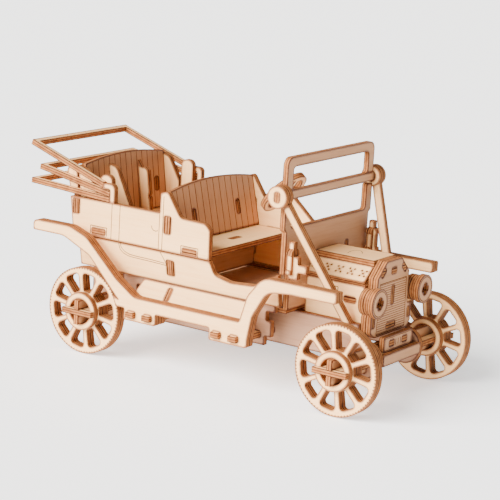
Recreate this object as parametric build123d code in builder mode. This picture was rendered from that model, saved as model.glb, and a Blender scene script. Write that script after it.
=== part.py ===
"""Wooden model kit of an open touring car: flat plywood boards that slot together.

Frame: +X is the front of the car, +Y its left, +Z up. The wheels stand on Z = 0, and the
origin is below the middle of the model's outline. Boards along the car are drawn as
(length, height), boards across it as (width, height), and lengths start midway between
the axles.
"""
import os
from math import atan2, cos, degrees, hypot, radians, sin, sqrt, tan

from build123d import *

os.makedirs("parts", exist_ok=True)

# ---------------------------------------------------------------- driving dimensions (mm)
PLY = 3.0                    # board thickness
FIT = 0.1                    # play of a tab in its slot
RUN = 0.06                   # radial play of a part that turns on another
AIR = 0.3                    # gap between parts that move past each other

WHEELBASE = 162.4
WHEEL_RADIUS = 24.0
WHEEL_FACE = 49.7            # outer face of the spoked layers, from the centre line
WHEEL_SPOKES = 10
WHEEL_TURN = 8.0             # degrees the spokes are turned from level
RIM_DEPTH = 3.4
SPOKE_WIDTH = 2.5
SPOKE_START = 10.9
SPOKE_CORNER = 1.8
HUB_RING_RADIUS = 10.4
HUB_BORE = 7.0
AXLE_LOCK_LENGTH = 20.0

RAIL_INNER = 19.0
RAIL_BOTTOM = 22.4
RAIL_TOP = 42.0
RAIL_REAR = -97.0
RAIL_BOSS = 9.9              # round boss that carries an axle
SILL_BOTTOM = 23.5
SILL_REAR = -66.0
SILL_FRONT = 34.0
BODY_SIDE = 41.6             # outer face of the upper side boards

FENDER_FACE = 52.0
WHEEL_GAP = 0.9              # rear fender's edge to the tyre
STEP_TOP = 38.4
STEP_BOTTOM = 31.6
FOOT_BOTTOM = 25.2
FOOT_LENGTH = 21.0
FOOT_CENTRES = (-41.0, 15.0)
STEP_TAB_WIDTH = 5.0
STEP_TAB_SPREAD = 11.0
STEP_TAB_PROUD = 2.4
STEP_BEAM_TOP = 30.4

BODY_BOTTOM = 46.4           # lower edge of the slanted lower panels
BELT = 64.2                  # where lower panel and upper side board meet
BODY_FLARE = 3.4             # how far the lower panel leans out up to the belt
BODY_REAR = -93.0
DASH_X = 40.0                # middle of the dash and windscreen boards
APRON_FOOT = 37.5
APRON_HEIGHT = 10.9
APRON_LEAN = 36.0

SIDE_TOP = 84.3
SIDE_REAR = -99.6
SIDE_FRONT = -5.0
ARM_PEAK = 96.3
ARM_REST = 83.6
SEAT_TOP = 68.2
SEAT_FRONT = -6.0
SEAT_BACK_X = -33.0
SEAT_BACK_LEAN = 13.0
SEAT_BACK_SIDE_TOP = 95.4
SEAT_BACK_MIDDLE_TOP = 98.8
REAR_SEAT_TOP = 69.4
REAR_SEAT_FRONT = -72.0
REAR_BACK_X = -93.2
REAR_BACK_LEAN = 8.0
REAR_BACK_SIDE_TOP = 101.4
REAR_BACK_MIDDLE_TOP = 104.4
FIN_RIGHT = -14.0
FIN_LEFT = 12.0
POST_TOP = 101.0

BOW_DEPTH = 3.0
TOP_BOW = (-77.4, 93.4, 53.6, 18.2)       # front end, height, arm length, rise in degrees
MIDDLE_BOW = (-72.9, 89.0, 49.6, 9.6)
LOWER_BOW = (-72.9, 85.9, 54.9, 3.0)
BRACKET_UNDER = 91.6         # underside of the hooks that hold the bows
BRACKET_FRONT = -69.2
BRACKET_LEG = 3.2
BRACKET_REACH = 8.0
BRACKET_BACK_TOP = 98.6

SCREEN_HALF = 42.5
SCREEN_TOP = 125.6
SCREEN_BAR = 5.2
SCREEN_POST = 5.6
HINGE_Z = 106.0
HINGE_DISC = 5.9
HINGE_TAB = 5.0
PANEL_TOP = 88.6
PANEL_HALF = 40.5
STRUT_WIDTH = 4.6
STRUT_HEAD = (43.0, 101.0)   # length and height of the strut's upper end
STRUT_FOOT = 72.0

STEER_X = 19.8
STEER_Y = -10.0
STEER_Z = 99.6
STEER_ANGLE = 41.0           # column below level
STEER_RADIUS = 14.0
STEER_RIM = 3.2
STEER_HUB = 4.2
COLUMN_WIDTH = 7.0
STEER_PEG = 1.4

HOOD_HALF_TOP = 11.0
HOOD_TOP = 73.6
HOOD_SIDE = 18.6
HOOD_SIDE_TOP = 61.2
VENT_GROUPS = 5
VENT_RADIUS = 0.45
HOOD_EAVE = 1.2              # how far the slanted board stands out past the side board
EAVE_RISE = 0.8 * PLY        # from the side board's top to the slanted board's lower edge
RADIATOR_BOTTOM = 34.6
RADIATOR_TOP = 73.6
RADIATOR_HALF = 16.0
RADIATOR_LOBE = 20.4
SHOULDER_DROP = 8.0          # height and width of the radiator's slanted shoulders
SHOULDER_HALF = 7.6
SLOT_SHORT = 2.8             # tab slots of the radiator's front board
SLOT_LONG = 5.4
GRILLE_SLOT = (55.0, 10.0)   # height of its middle, and length
LOWER_SLOT = (39.0, 9.0)
LOBE_SLOT = (18.0, 43.0)     # width and height of its middle
SHOULDER_SLOT = (10.6, 68.2)
HOOD_SLOT = (68.5, 53.0, 7.0)             # length and height of its middle, and its length
PANEL_SLOT = (19.6, 71.5)    # width and height of its middle
LAMP_Y = 23.3
LAMP_Z = 55.2
LAMP_RADIUS = 7.75
LAMP_BODY_RADIUS = 6.9
LANTERN_Y = 39.5
LANTERN_BOTTOM = 63.4
LANTERN_HEIGHT = 19.4
LANTERN_HALF = 4.0
PLATE_HALF = 14.5
PLATE_BOTTOM = 27.4
PLATE_HEIGHT = 8.0
BEAM_BOTTOM = 21.4
BEAM_HEIGHT = 6.0

# ---------------------------------------------------------------- derived sizes
AXLE_X = WHEELBASE / 2
AXLE_HALF = sqrt((HUB_BORE - RUN) ** 2 - (PLY / 2) ** 2)
RING_FACE = WHEEL_FACE + PLY
LOCK_INNER = RING_FACE + AIR
LOCK_OUTER = LOCK_INNER + PLY
RADIATOR_FACE = AXLE_X + 1.8
HOOD_FRONT = RADIATOR_FACE - 2 * PLY
BEAM_REAR = AXLE_X + AXLE_HALF + AIR
DASH_BACK = DASH_X - PLY / 2
DASH_FRONT = DASH_X + PLY / 2
BODY_FOOT = BODY_SIDE - BODY_FLARE
PANEL_LEAN = degrees(atan2(BODY_FLARE, BELT - BODY_BOTTOM))
PANEL_HEIGHT = (BELT - BODY_BOTTOM - PLY * sin(radians(PANEL_LEAN))) / cos(radians(PANEL_LEAN))
SIDE_INNER = BODY_SIDE - PLY
WING_INNER = SIDE_INNER - AIR - PLY        # inner face of the rear seat's wings
SILL_INNER = BODY_FOOT - 2 * PLY - 2 * FIT
STRUT_INNER = SCREEN_HALF + AIR
STRUT_OUTER = STRUT_INNER + PLY
CAP_INNER = STRUT_OUTER + AIR
CAP_OUTER = CAP_INNER + PLY
TAB_CORNER = hypot(PLY / 2, HINGE_TAB / 2)
FRONT_REACH = AXLE_X + WHEEL_RADIUS
SHOULDER_ANGLE = degrees(atan2(SHOULDER_DROP, RADIATOR_HALF - SHOULDER_HALF))
BOW_RISE = radians(TOP_BOW[3])
REAR_REACH = -TOP_BOW[0] + TOP_BOW[2] * cos(BOW_RISE) + BOW_DEPTH / 2 * sin(BOW_RISE)
MID_X = (REAR_REACH - FRONT_REACH) / 2     # midway between the axles, from the origin
SIDES = (("right", -1), ("left", 1))


def along(y):
    """Plane of a board along the car at width y: (length, height), facing right."""
    return Plane(origin=(MID_X, y, 0), x_dir=(1, 0, 0), z_dir=(0, -1, 0))


def across(x):
    """Plane of a board across the car at length x: (width, height), facing forward."""
    return Plane(origin=(MID_X + x, 0, 0), x_dir=(0, 1, 0), z_dir=(1, 0, 0))


def level(z):
    """Plane of a level board at height z: (length, width)."""
    return Plane(origin=(MID_X, 0, z))


def leaning_side(side, y, z, lean):
    """Plane through a side board's lower outer edge; lean is how far it tips inwards."""
    tip = radians(lean)
    return Plane(origin=(MID_X, side * y, z), x_dir=(1, 0, 0), z_dir=(0, -cos(tip), -side * sin(tip)))


def leaning_back(x, z, lean):
    """Plane through the foot of a seat back, tipped rearwards by lean."""
    tip = radians(lean)
    return Plane(origin=(MID_X + x, 0, z), x_dir=(0, 1, 0), z_dir=(cos(tip), 0, sin(tip)))


def outward(side, thickness):
    """Extrusion that takes a board along the car away from the centre line."""
    return -side * thickness


def plate(corners):
    """Face with straight edges between (across, up, corner radius) corners."""
    edges = []
    starts = []
    ends = []
    for i, (x, y, radius) in enumerate(corners):
        before = Vector(*corners[i - 1][:2]) - Vector(x, y)
        after = Vector(*corners[(i + 1) % len(corners)][:2]) - Vector(x, y)
        corner = Vector(x, y)
        if radius == 0:
            starts.append(corner)
            ends.append(corner)
            continue
        before = before.normalized()
        after = after.normalized()
        half = radians(before.get_angle(after)) / 2
        reach = radius / tan(half)
        starts.append(corner + before * reach)
        ends.append(corner + after * reach)
        bisector = (before + after).normalized()
        middle = corner + bisector * (radius / sin(half) - radius)
        edges.append(Edge.make_three_point_arc(starts[-1], middle, ends[-1]))
    for i in range(len(corners)):
        edges.append(Edge.make_line(ends[i - 1], starts[i]))
    return Face(Wire(edges))


def mirrored(corners):
    """Full outline from its right half, listed from bottom to top with width as first value."""
    return corners + [(-x, y, radius) for x, y, radius in reversed(corners)]


def save(board, name):
    """Labels a finished sub-part and writes its STEP file."""
    board.part.label = name
    export_step(board.part, f"parts/{name}.step")


def box_between(low, high, mode=Mode.ADD):
    """Box from its low to its high corner, lengths counted from between the axles."""
    size = [high[i] - low[i] for i in range(3)]
    middle = [(high[i] + low[i]) / 2 for i in range(3)]
    with Locations((MID_X + middle[0], middle[1], middle[2])):
        Box(*size, mode=mode)


def cut_step_beams():
    """Slots where the two level step beams pass through a board along the car."""
    for centre in FOOT_CENTRES:
        low = (centre - FOOT_LENGTH / 2 - FIT, -FENDER_FACE, STEP_BEAM_TOP - PLY - FIT)
        high = (centre + FOOT_LENGTH / 2 + FIT, FENDER_FACE, STEP_BEAM_TOP + FIT)
        box_between(low, high, Mode.SUBTRACT)


def cut_step_tabs():
    """Slots for the tabs of the step beams in the fenders and feet."""
    for centre in FOOT_CENTRES:
        for shift in (-STEP_TAB_SPREAD / 2, STEP_TAB_SPREAD / 2):
            half = STEP_TAB_WIDTH / 2 + FIT
            low = (centre + shift - half, -2 * FENDER_FACE, STEP_BEAM_TOP - PLY - FIT)
            high = (centre + shift + half, 2 * FENDER_FACE, STEP_BEAM_TOP + FIT)
            box_between(low, high, Mode.SUBTRACT)


def cut_axles():
    """Cross-shaped openings that hold the two axles."""
    for x in (-AXLE_X, AXLE_X):
        for half_x, half_z in ((AXLE_HALF, PLY / 2), (PLY / 2, AXLE_HALF)):
            low = (x - half_x - FIT, -BODY_SIDE, WHEEL_RADIUS - half_z - FIT)
            high = (x + half_x + FIT, BODY_SIDE, WHEEL_RADIUS + half_z + FIT)
            box_between(low, high, Mode.SUBTRACT)


# ---------------------------------------------------------------- chassis
for side_name, side in SIDES:
    with BuildPart() as rail:
        with BuildSketch(along(side * RAIL_INNER)):
            add(plate([
                (RAIL_REAR, RAIL_TOP, 0),
                (RAIL_REAR, RAIL_BOTTOM + 4, 6),
                (RAIL_REAR + 6, RAIL_BOTTOM, 0),
                (AXLE_X, RAIL_BOTTOM, 0),
                (AXLE_X, RADIATOR_BOTTOM - FIT, 0),
                (HOOD_FRONT, RADIATOR_BOTTOM - FIT, 0),
                (HOOD_FRONT, RAIL_TOP, 0),
            ]))
            with Locations((-AXLE_X, WHEEL_RADIUS), (AXLE_X, WHEEL_RADIUS)):
                Circle(RAIL_BOSS)
        extrude(amount=outward(side, PLY))
        cut_step_beams()
        cut_axles()
    save(rail, f"chassis_rail_{side_name}")

with BuildPart() as floor:
    box_between((RAIL_REAR + 12, -SILL_INNER, RAIL_TOP), (DASH_BACK, SILL_INNER, RAIL_TOP + PLY))
save(floor, "chassis_floor")

SILL = [
    (SILL_REAR, BODY_BOTTOM, 0),
    (SILL_REAR, SILL_BOTTOM + 9, 0),
    (SILL_REAR + 9, SILL_BOTTOM, 0),
    (SILL_FRONT - 6, SILL_BOTTOM, 0),
    (SILL_FRONT - 6, SILL_BOTTOM + 5, 0),
    (SILL_FRONT - 2, SILL_BOTTOM + 5, 0),
    (SILL_FRONT - 2, RAIL_TOP - 5, 0),
    (SILL_FRONT - 5.5, RAIL_TOP - 5, 0),
    (SILL_FRONT - 5.5, RAIL_TOP, 0),
    (SILL_FRONT, RAIL_TOP, 0),
    (SILL_FRONT, BODY_BOTTOM, 0),
]
with BuildPart() as sills:
    for _, side in SIDES:
        with BuildSketch(along(side * SILL_INNER)):
            add(plate(SILL))
            with Locations((SILL_REAR + 11, 38.5)):
                Rectangle(2.2, 5, mode=Mode.SUBTRACT)
        extrude(amount=outward(side, PLY))
    cut_step_beams()
save(sills, "body_sills")

with BuildPart() as beams:
    with BuildSketch(level(STEP_BEAM_TOP)):
        for centre in FOOT_CENTRES:
            with Locations((centre, 0)):
                Rectangle(FOOT_LENGTH, 2 * (FENDER_FACE - 3 * PLY))
            for shift in (-STEP_TAB_SPREAD / 2, STEP_TAB_SPREAD / 2):
                with Locations((centre + shift, 0)):
                    Rectangle(STEP_TAB_WIDTH, 2 * (FENDER_FACE + STEP_TAB_PROUD))
    extrude(amount=-PLY)
save(beams, "step_beams")

with BuildPart() as front_beam:
    low = (BEAM_REAR, -RAIL_INNER, BEAM_BOTTOM)
    high = (BEAM_REAR + PLY, RAIL_INNER, BEAM_BOTTOM + BEAM_HEIGHT)
    box_between(low, high)
save(front_beam, "front_beam")

with BuildPart() as number_plate:
    with BuildSketch(across(BEAM_REAR - PLY)):
        with Locations((0, PLATE_BOTTOM + PLATE_HEIGHT / 2)):
            RectangleRounded(2 * PLATE_HALF, PLATE_HEIGHT, 1.2)
        with Locations((-6.5, PLATE_BOTTOM + PLATE_HEIGHT / 2), (6.5, PLATE_BOTTOM + PLATE_HEIGHT / 2)):
            Rectangle(5, PLY + 2 * FIT, mode=Mode.SUBTRACT)
    extrude(amount=PLY)
save(number_plate, "number_plate")

# ---------------------------------------------------------------- wheels and axles
half_gap = radians(180 / WHEEL_SPOKES)
reach = WHEEL_RADIUS - RIM_DEPTH
inner_half = SPOKE_START * sin(half_gap) - SPOKE_WIDTH / 2
outer_half = reach * sin(half_gap) - SPOKE_WIDTH / 2
WHEEL_OPENING = plate([
    (SPOKE_START, -inner_half, 0),
    (reach, -outer_half, SPOKE_CORNER),
    (reach, outer_half, SPOKE_CORNER),
    (SPOKE_START, inner_half, 0),
])

for end_name, axle in (("rear", -AXLE_X), ("front", AXLE_X)):
    for side_name, side in SIDES:
        with BuildPart() as wheel:
            with BuildSketch(along(side * (WHEEL_FACE - 2 * PLY))):
                with Locations((axle, WHEEL_RADIUS)):
                    Circle(WHEEL_RADIUS)
                for step in range(WHEEL_SPOKES):
                    turn = WHEEL_TURN + step * 360 / WHEEL_SPOKES
                    add(Location((axle, WHEEL_RADIUS), turn) * WHEEL_OPENING, mode=Mode.SUBTRACT)
            extrude(amount=outward(side, 2 * PLY))
            with BuildSketch(along(side * (WHEEL_FACE - 3 * PLY))):
                with Locations((axle, WHEEL_RADIUS)):
                    Circle(HUB_RING_RADIUS)
            extrude(amount=outward(side, 4 * PLY))
            with BuildSketch(along(side * (WHEEL_FACE - 3 * PLY))):
                with Locations((axle, WHEEL_RADIUS)):
                    Circle(HUB_BORE)
            extrude(amount=outward(side, 4 * PLY), mode=Mode.SUBTRACT)
        save(wheel, f"wheel_{end_name}_{side_name}")

    with BuildPart() as upright:
        low = (axle - PLY / 2, -LOCK_OUTER, WHEEL_RADIUS - AXLE_HALF)
        high = (axle + PLY / 2, LOCK_OUTER, WHEEL_RADIUS + AXLE_HALF)
        box_between(low, high)
        low = (axle - PLY / 2, -LOCK_OUTER, WHEEL_RADIUS - PLY / 2 - FIT / 2)
        high = (axle + PLY / 2, 0, WHEEL_RADIUS + PLY / 2 + FIT / 2)
        box_between(low, high, Mode.SUBTRACT)
        for _, side in SIDES:
            notch_middle = side * (LOCK_INNER + LOCK_OUTER) / 2
            low = (axle - PLY, notch_middle - PLY / 2 - FIT / 2, WHEEL_RADIUS - PLY / 2 - FIT)
            high = (axle + PLY, notch_middle + PLY / 2 + FIT / 2, WHEEL_RADIUS + PLY / 2 + FIT)
            box_between(low, high, Mode.SUBTRACT)
    save(upright, f"axle_upright_{end_name}")

    with BuildPart() as flat:
        low = (axle - AXLE_HALF, -RING_FACE, WHEEL_RADIUS - PLY / 2)
        high = (axle + AXLE_HALF, RING_FACE, WHEEL_RADIUS + PLY / 2)
        box_between(low, high)
        low = (axle - PLY / 2 - FIT / 2, 0, WHEEL_RADIUS - PLY / 2)
        high = (axle + PLY / 2 + FIT / 2, RING_FACE, WHEEL_RADIUS + PLY / 2)
        box_between(low, high, Mode.SUBTRACT)
    save(flat, f"axle_flat_{end_name}")

with BuildPart() as locks:
    for axle in (-AXLE_X, AXLE_X):
        for _, side in SIDES:
            y_low = min(side * LOCK_INNER, side * LOCK_OUTER)
            low = (axle - AXLE_LOCK_LENGTH / 2, y_low, WHEEL_RADIUS - PLY / 2)
            high = (axle + AXLE_LOCK_LENGTH / 2, y_low + PLY, WHEEL_RADIUS + PLY / 2)
            box_between(low, high)
save(locks, "axle_locks")

# ---------------------------------------------------------------- fenders and steps
TYRE = WHEEL_RADIUS + WHEEL_GAP
REAR = -AXLE_X
FENDER = [
    (REAR - 35.4, 69.8, 2.5),
    (REAR - 35.4, 64.0, 1.0),
    (REAR - 14.0, 64.0, 12.0),
    (REAR + 4.4, 56.0, 8.0),
    (REAR + 24.8, 35.8, 6.0),
    (REAR + 34.0, STEP_BOTTOM, 6.0),
    (FOOT_CENTRES[0] - FOOT_LENGTH / 2, STEP_BOTTOM, 0),
    (FOOT_CENTRES[0] - FOOT_LENGTH / 2, FOOT_BOTTOM, 1.2),
    (FOOT_CENTRES[0] + FOOT_LENGTH / 2, FOOT_BOTTOM, 1.2),
    (FOOT_CENTRES[0] + FOOT_LENGTH / 2, STEP_BOTTOM, 0),
    (FOOT_CENTRES[1] - FOOT_LENGTH / 2, STEP_BOTTOM, 0),
    (FOOT_CENTRES[1] - FOOT_LENGTH / 2, FOOT_BOTTOM, 1.2),
    (FOOT_CENTRES[1] + FOOT_LENGTH / 2 + 3.0, FOOT_BOTTOM, 1.2),
    (FOOT_CENTRES[1] + FOOT_LENGTH / 2 + 3.0, STEP_BOTTOM - 1.5, 0),
    (AXLE_X - 50.4, 42.5, 8.0),
    (AXLE_X - 42.0, 56.8, 8.0),
    (AXLE_X - 28.0, 58.3, 12.0),
    (AXLE_X - 0.7, 58.3, 0.8),
    (AXLE_X - 0.7, 64.2, 0.8),
    (AXLE_X - 45.0, 64.2, 10.0),
    (AXLE_X - 54.0, 53.0, 10.0),
    (AXLE_X - 58.2, STEP_TOP, 0),
    (REAR + 36.0, STEP_TOP, 8.0),
    (REAR + 23.4, 46.5, 8.0),
    (REAR + 2.0, 65.8, 12.0),
    (REAR - 10.0, 70.0, 10.0),
]
for side_name, side in SIDES:
    for layer_name, inner in (("inner", FENDER_FACE - 2 * PLY), ("outer", FENDER_FACE - PLY)):
        with BuildPart() as fender:
            with BuildSketch(along(side * inner)):
                add(plate(FENDER))
                with Locations((-AXLE_X, WHEEL_RADIUS)):
                    Circle(TYRE, mode=Mode.SUBTRACT)
            extrude(amount=outward(side, PLY))
            cut_step_tabs()
        save(fender, f"fender_{layer_name}_{side_name}")

    with BuildPart() as apron:
        with BuildSketch(leaning_side(side, FENDER_FACE - 2 * PLY, APRON_FOOT, APRON_LEAN)):
            add(plate([
                (-51.0, 0, 0),
                (21.0, 0, 0),
                (23.0, APRON_HEIGHT, 0),
                (-48.0, APRON_HEIGHT, 0),
            ]))
            with Locations((-29.1, APRON_HEIGHT / 2 - 0.5)):
                Rectangle(PLY, 7.4, mode=Mode.SUBTRACT)
        extrude(amount=-outward(side, PLY))
    save(apron, f"apron_{side_name}")

with BuildPart() as feet:
    for centre in FOOT_CENTRES:
        for _, side in SIDES:
            with BuildSketch(along(side * (FENDER_FACE - 3 * PLY))):
                with Locations((centre, (FOOT_BOTTOM + STEP_BOTTOM) / 2 + 0.6)):
                    RectangleRounded(FOOT_LENGTH, STEP_BOTTOM - FOOT_BOTTOM + 1.2, 1.2)
            extrude(amount=outward(side, PLY))
    cut_step_tabs()
save(feet, "step_feet")

# ---------------------------------------------------------------- body sides
for side_name, side in SIDES:
    with BuildPart() as panel:
        with BuildSketch(leaning_side(side, BODY_FOOT, BODY_BOTTOM, -PANEL_LEAN)):
            add(plate([
                (BODY_REAR, 0, 0),
                (DASH_BACK, 0, 0),
                (DASH_BACK, PANEL_HEIGHT, 0),
                (DASH_BACK - 2.7, PANEL_HEIGHT - 1.2, 1.0),
                (23.0, 9.0, 7.0),
                (8.1, 7.9, 5.0),
                (-1.9, 10.2, 4.0),
                (SIDE_FRONT + 0.3, PANEL_HEIGHT, 0),
                (BODY_REAR, PANEL_HEIGHT, 0),
            ]))
            with Locations((-30.8, 9.0)):
                Rectangle(PLY + 2.0, 8.4, mode=Mode.SUBTRACT)
        extrude(amount=-outward(side, PLY))
    save(panel, f"lower_side_{side_name}")

    with BuildPart() as upper:
        with BuildSketch(along(side * SIDE_INNER)):
            add(plate([
                (SIDE_REAR + 2.7, BELT, 0),
                (SIDE_FRONT, BELT, 0),
                (SIDE_FRONT - 0.4, ARM_REST - 3.4, 1.5),
                (-8.6, ARM_REST - 0.4, 2.5),
                (-24.6, ARM_REST, 4.0),
                (-29.4, 90.4, 8.0),
                (-33.6, ARM_PEAK + 0.4, 2.4),
                (-38.2, ARM_PEAK - 1.2, 0.6),
                (-38.2, SIDE_TOP, 0),
                (SIDE_REAR, SIDE_TOP, 0.6),
            ]))
            with Locations((-32.9, 78.5)):
                Rectangle(4.4, 9.4, mode=Mode.SUBTRACT)
            with Locations((-95.2, 79.2)):
                Rectangle(4.4, 8.0, mode=Mode.SUBTRACT)
            with Locations((-79.2, 67.4), (-17.9, 66.4)):
                Rectangle(9.2, PLY, mode=Mode.SUBTRACT)
        extrude(amount=outward(side, PLY))
    save(upper, f"upper_side_{side_name}")

# ---------------------------------------------------------------- seats
def seat_back(foot_x, foot_z, lean, half, side_top, middle_top, slot_y, slot_up):
    """Seat back board with an arched upper edge and two slots, standing on its foot."""
    slope = cos(radians(lean))
    side_height = (side_top - foot_z) / slope
    middle_height = (middle_top - foot_z) / slope
    with BuildPart() as board:
        with BuildSketch(leaning_back(foot_x, foot_z, lean)):
            with BuildLine():
                Polyline((-half, side_height), (-half, 0), (half, 0), (half, side_height))
                ThreePointArc((half, side_height), (0, middle_height), (-half, side_height))
            make_face()
            with Locations((-slot_y, slot_up), (slot_y, slot_up)):
                Rectangle(PLY + 2 * FIT, 7.6, mode=Mode.SUBTRACT)
        extrude(amount=PLY)
    return board


seat_foot = SEAT_BACK_X + (78.5 - SEAT_TOP) * tan(radians(SEAT_BACK_LEAN))
front_back = seat_back(
    seat_foot, SEAT_TOP, SEAT_BACK_LEAN, SIDE_INNER, SEAT_BACK_SIDE_TOP, SEAT_BACK_MIDDLE_TOP,
    20.5, 12.4
)
save(front_back, "front_seat_back")
rear_back = seat_back(
    REAR_BACK_X, REAR_SEAT_TOP, REAR_BACK_LEAN, WING_INNER, REAR_BACK_SIDE_TOP, REAR_BACK_MIDDLE_TOP,
    27.0, 14.0
)
save(rear_back, "rear_seat_back")

with BuildPart() as front_seat:
    with BuildSketch(level(SEAT_TOP - PLY)):
        with Locations(((seat_foot + SEAT_FRONT) / 2, 0)):
            Rectangle(SEAT_FRONT - seat_foot, 2 * SIDE_INNER)
        with Locations((-17.5, 0)):
            Rectangle(PLY, 9.0, mode=Mode.SUBTRACT)
    extrude(amount=PLY)
save(front_seat, "front_seat_board")

with BuildPart() as front_riser:
    low = (seat_foot, -BODY_FOOT + PLY, BODY_BOTTOM)
    high = (seat_foot + PLY, BODY_FOOT - PLY, SEAT_TOP - PLY)
    box_between(low, high)
save(front_riser, "front_seat_riser")

with BuildPart() as rear_seat:
    low = (SIDE_REAR + PLY, -SIDE_INNER, REAR_SEAT_TOP - PLY)
    high = (REAR_SEAT_FRONT, SIDE_INNER, REAR_SEAT_TOP)
    box_between(low, high)
save(rear_seat, "rear_seat_board")

with BuildPart() as rear_riser:
    low = (REAR_SEAT_FRONT - PLY, -BODY_FOOT + PLY, RAIL_TOP + PLY)
    high = (REAR_SEAT_FRONT, BODY_FOOT - PLY, REAR_SEAT_TOP - PLY)
    box_between(low, high)
save(rear_riser, "rear_seat_riser")

with BuildPart() as rear_panel:
    box_between((SIDE_REAR, -SIDE_INNER, BELT), (SIDE_REAR + PLY, SIDE_INNER, SIDE_TOP))
save(rear_panel, "rear_panel")

rear_face_foot = REAR_BACK_X + PLY / cos(radians(REAR_BACK_LEAN))


def rear_face(z):
    """Front surface of the rear seat back at a height."""
    return rear_face_foot - (z - REAR_SEAT_TOP) * tan(radians(REAR_BACK_LEAN))


with BuildPart() as fins:
    with BuildSketch(along(FIN_RIGHT + PLY / 2)):
        add(plate([
            (rear_face(REAR_SEAT_TOP), REAR_SEAT_TOP, 0),
            (-76.5, REAR_SEAT_TOP, 0),
            (-78.1, 78.0, 6.0),
            (-85.2, 91.6, 8.0),
            (-88.7, 98.4, 3.0),
            (rear_face(99.9), 99.9, 0),
        ]))
    extrude(amount=PLY)
    with BuildSketch(along(FIN_LEFT + PLY / 2)):
        add(plate([
            (rear_face(REAR_SEAT_TOP), REAR_SEAT_TOP, 0),
            (-83.4, REAR_SEAT_TOP, 0),
            (-84.6, 78.6, 0),
            (-85.6, 79.0, 0),
            (-84.8, 80.6, 0),
            (-86.8, 93.9, 1.0),
            (-88.6, 95.4, 0),
            (-91.6, 95.0, 0),
            (rear_face(98.8), 98.8, 0),
        ]))
    extrude(amount=PLY)
save(fins, "rear_fins")

with BuildPart() as wings:
    for _, side in SIDES:
        with BuildSketch(along(side * WING_INNER)):
            add(plate([
                (rear_face(REAR_SEAT_TOP) - PLY, REAR_SEAT_TOP, 0),
                (-82.4, REAR_SEAT_TOP, 0),
                (-82.4, 85.5, 2.0),
                (-87.0, 93.2, 4.0),
                (-90.2, 98.6, 3.0),
                (rear_face(101.2) - PLY, 101.2, 0),
            ]))
        extrude(amount=outward(side, PLY))
save(wings, "rear_wings")

with BuildPart() as posts:
    for _, side in SIDES:
        with BuildSketch(along(side * WING_INNER)):
            add(plate([
                (SIDE_REAR, SIDE_TOP, 0),
                (SIDE_REAR + PLY, SIDE_TOP, 0),
                (SIDE_REAR + PLY - 1.6, POST_TOP - 3.0, 0),
                (SIDE_REAR - 3.0, POST_TOP, 1.5),
                (SIDE_REAR - 5.6, POST_TOP - 3.0, 1.5),
                (SIDE_REAR - 3.0, SIDE_TOP + 3.0, 1.0),
            ]))
        extrude(amount=outward(side, PLY))
save(posts, "rear_posts")

# ---------------------------------------------------------------- folded canopy bows
for name, (front_x, front_z, length, rise) in (
    ("top", TOP_BOW), ("middle", MIDDLE_BOW), ("lower", LOWER_BOW)
):
    tilt = radians(rise)
    half = BOW_DEPTH / 2
    back = Vector(-cos(tilt), sin(tilt))
    up = Vector(sin(tilt), cos(tilt))
    start = Vector(front_x, front_z)
    end = start + back * length
    shoulder = end - back * PLY
    with BuildPart() as bow:
        for _, side in SIDES:
            with BuildSketch(along(side * SIDE_INNER)):
                points = (start - up * half, start + up * half, end + up * half, end - up * half)
                add(plate([(point.X, point.Y, 0) for point in points]))
            extrude(amount=outward(side, PLY))
        with BuildSketch(along(SIDE_INNER)):
            points = (shoulder - up * half, shoulder + up * half, end + up * half, end - up * half)
            add(plate([(point.X, point.Y, 0) for point in points]))
        extrude(amount=2 * SIDE_INNER)
    save(bow, f"canopy_bow_{name}")

with BuildPart() as hooks:
    for _, side in SIDES:
        with BuildSketch(along(side * SIDE_INNER)):
            add(plate([
                (BRACKET_FRONT - BRACKET_LEG, SIDE_TOP, 0),
                (BRACKET_FRONT, SIDE_TOP, 0),
                (BRACKET_FRONT, BRACKET_UNDER + PLY, 2.6),
                (BRACKET_FRONT - BRACKET_REACH, BRACKET_UNDER + PLY, 1.4),
                (BRACKET_FRONT - BRACKET_REACH, BRACKET_UNDER, 0),
                (BRACKET_FRONT - BRACKET_LEG, BRACKET_UNDER, 0),
            ]))
        extrude(amount=outward(side, PLY))
save(hooks, "bow_hooks")

with BuildPart() as inner_brackets:
    for _, side in SIDES:
        with BuildSketch(along(side * SIDE_INNER)):
            add(plate([
                (-81.6, REAR_SEAT_TOP, 0),
                (-73.4, REAR_SEAT_TOP, 0),
                (-73.4, BRACKET_BACK_TOP, 3.5),
                (-81.6, BRACKET_BACK_TOP, 3.5),
            ]))
        extrude(amount=-outward(side, PLY))
save(inner_brackets, "bow_brackets")

# ---------------------------------------------------------------- windscreen
stile_top = HINGE_Z - TAB_CORNER - 2 * AIR
with BuildPart() as dash:
    with BuildSketch(across(DASH_BACK)):
        add(plate(mirrored([
            (BODY_FOOT - PLY, RAIL_TOP + PLY, 0),
            (BODY_FOOT - PLY, BELT + 0.6, 0),
            (PANEL_HALF, BELT + 0.6, 0),
            (PANEL_HALF, PANEL_TOP - 2.0, 0),
            (SCREEN_HALF, PANEL_TOP - 0.5, 0),
            (SCREEN_HALF, stile_top, 1.0),
            (SCREEN_HALF - SCREEN_POST, stile_top, 1.0),
            (SCREEN_HALF - SCREEN_POST, PANEL_TOP, 2.0),
        ])))
        with Locations(PANEL_SLOT):
            Rectangle(SLOT_SHORT, SLOT_LONG, mode=Mode.SUBTRACT)
    extrude(amount=PLY)
save(dash, "windscreen_board")

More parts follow.
